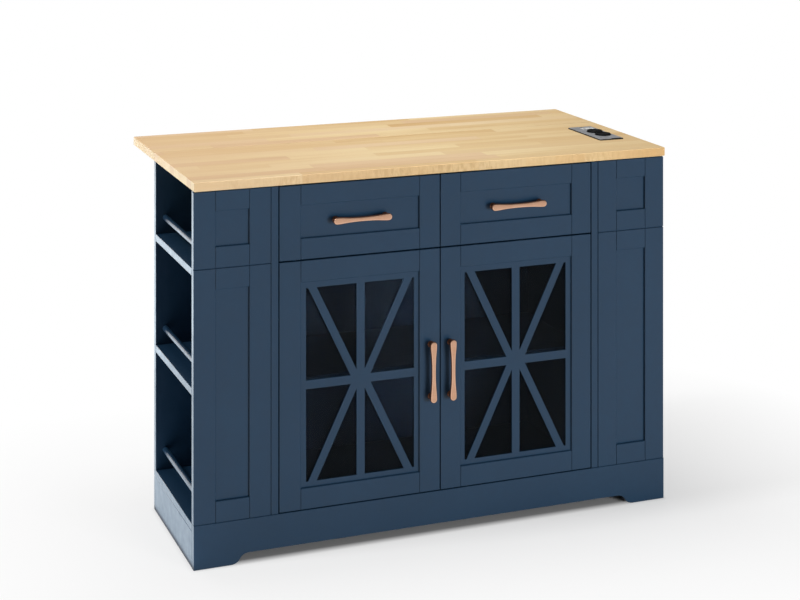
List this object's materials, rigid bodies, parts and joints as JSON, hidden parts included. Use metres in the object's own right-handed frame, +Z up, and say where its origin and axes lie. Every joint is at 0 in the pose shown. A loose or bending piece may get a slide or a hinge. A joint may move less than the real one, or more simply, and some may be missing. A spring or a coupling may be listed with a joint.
{
  "type": "kitchen island unit",
  "caption": "Painted kitchen island cabinet with drawers over glazed lattice doors, an open rack at each end, a wood worktop with an outlet, and a rear drop leaf.",
  "frame": {"origin": "under the middle of the bounding box, on the floor", "axes": "+X along the front to the right, +Y from the front to the back where the drop leaf is, +Z up"},
  "size_m": [1.251, 0.661, 0.9175],
  "materials": {
    "painted_wood": "satin dark blue paint",
    "worktop_wood": "clear satin varnish on glued hardwood staves",
    "plain_wood": "clear varnish on plywood",
    "dark_glass": "polished tinted glass",
    "copper_finish": "satin copper plating with dark bronze edges",
    "steel": "zinc plated",
    "black_plastic": "moulded",
    "silver_plastic": "satin metallic",
    "white_plastic": "moulded"
  },
  "bodies": {
    "cabinet": {"bottom_panel": "painted_wood", "back_panel": "painted_wood", "partition_left": "painted_wood", "partition_right": "painted_wood", "corner_post_left": "painted_wood", "corner_post_right": "painted_wood", "drawer_shelf": "painted_wood", "drawer_divider": "painted_wood", "inner_shelf": "painted_wood", "plinth_front": "painted_wood", "plinth_left": "painted_wood", "plinth_right": "painted_wood", "plinth_back": "painted_wood", "rack_shelf_left_upper": "painted_wood", "rack_shelf_left_lower": "painted_wood", "rack_rail_left_upper": "painted_wood", "rack_rail_left_middle": "painted_wood", "rack_rail_left_lower": "painted_wood", "rack_shelf_right_upper": "painted_wood", "rack_shelf_right_lower": "painted_wood", "rack_rail_right_upper": "painted_wood", "rack_rail_right_middle": "painted_wood", "rack_rail_right_lower": "painted_wood", "worktop": "worktop_wood", "drawer_runner_left": "plain_wood", "leaf_bracket_left": "steel", "hinge_arm_left_upper": "steel", "hinge_arm_left_lower": "steel", "drawer_runner_right": "plain_wood", "leaf_bracket_right": "steel", "hinge_arm_right_upper": "steel", "hinge_arm_right_lower": "steel", "outlet_housing": "black_plastic", "outlet_usb_ports": "white_plastic", "outlet_socket_front": "black_plastic", "outlet_socket_rear": "black_plastic", "outlet_plate": "silver_plastic"},
    "leaf": {"drop_leaf": "worktop_wood", "leaf_track_left": "steel", "leaf_track_right": "steel"},
    "leaf_stay_left": {"leaf_stay_left": "steel"},
    "door_left": {"door_frame_left": "painted_wood", "door_lattice_left": "painted_wood", "door_glass_left": "dark_glass", "door_handle_left": "copper_finish", "hinge_cup_left_upper": "steel", "hinge_cup_left_lower": "steel"},
    "drawer_left": {"drawer_front_left": "painted_wood", "drawer_box_left": "plain_wood", "drawer_handle_left": "copper_finish"},
    "leaf_stay_right": {"leaf_stay_right": "steel"},
    "door_right": {"door_frame_right": "painted_wood", "door_lattice_right": "painted_wood", "door_glass_right": "dark_glass", "door_handle_right": "copper_finish", "hinge_cup_right_upper": "steel", "hinge_cup_right_lower": "steel"},
    "drawer_right": {"drawer_front_right": "painted_wood", "drawer_box_right": "plain_wood", "drawer_handle_right": "copper_finish"}
  },
  "joints": [
    {"name": "door_hinge_left", "type": "hinge", "parent": "cabinet", "child": "door_left", "pos_m": [-0.41575, -0.3075, 0.4037], "axis": [0, 0, -1], "range_deg": [0, 100]},
    {"name": "door_hinge_right", "type": "hinge", "parent": "cabinet", "child": "door_right", "pos_m": [0.41575, -0.3075, 0.4037], "axis": [0, 0, 1], "range_deg": [0, 100]},
    {"name": "drawer_slide_left", "type": "slide", "parent": "cabinet", "child": "drawer_left", "axis": [0, -1, 0], "range_m": [0, 0.25]},
    {"name": "drawer_slide_right", "type": "slide", "parent": "cabinet", "child": "drawer_right", "axis": [0, -1, 0], "range_m": [0, 0.25]},
    {"name": "leaf_hinge", "type": "hinge", "parent": "cabinet", "child": "leaf", "pos_m": [0, 0.1065, 0.875], "axis": [-1, 0, 0], "range_deg": [0, 90]},
    {"name": "leaf_stay_pivot_left", "type": "hinge", "parent": "cabinet", "child": "leaf_stay_left", "pos_m": [-0.375, 0.101, 0.82], "axis": [-1, 0, 0], "range_deg": [0, 110]},
    {"name": "leaf_stay_pivot_right", "type": "hinge", "parent": "cabinet", "child": "leaf_stay_right", "pos_m": [0.375, 0.101, 0.82], "axis": [-1, 0, 0], "range_deg": [0, 110]}
  ],
  "couplings": [
    {"joint": "leaf_stay_pivot_left", "follows": "leaf_hinge", "ratio": 1.2178},
    {"joint": "leaf_stay_pivot_right", "follows": "leaf_hinge", "ratio": 1.2178}
  ]
}
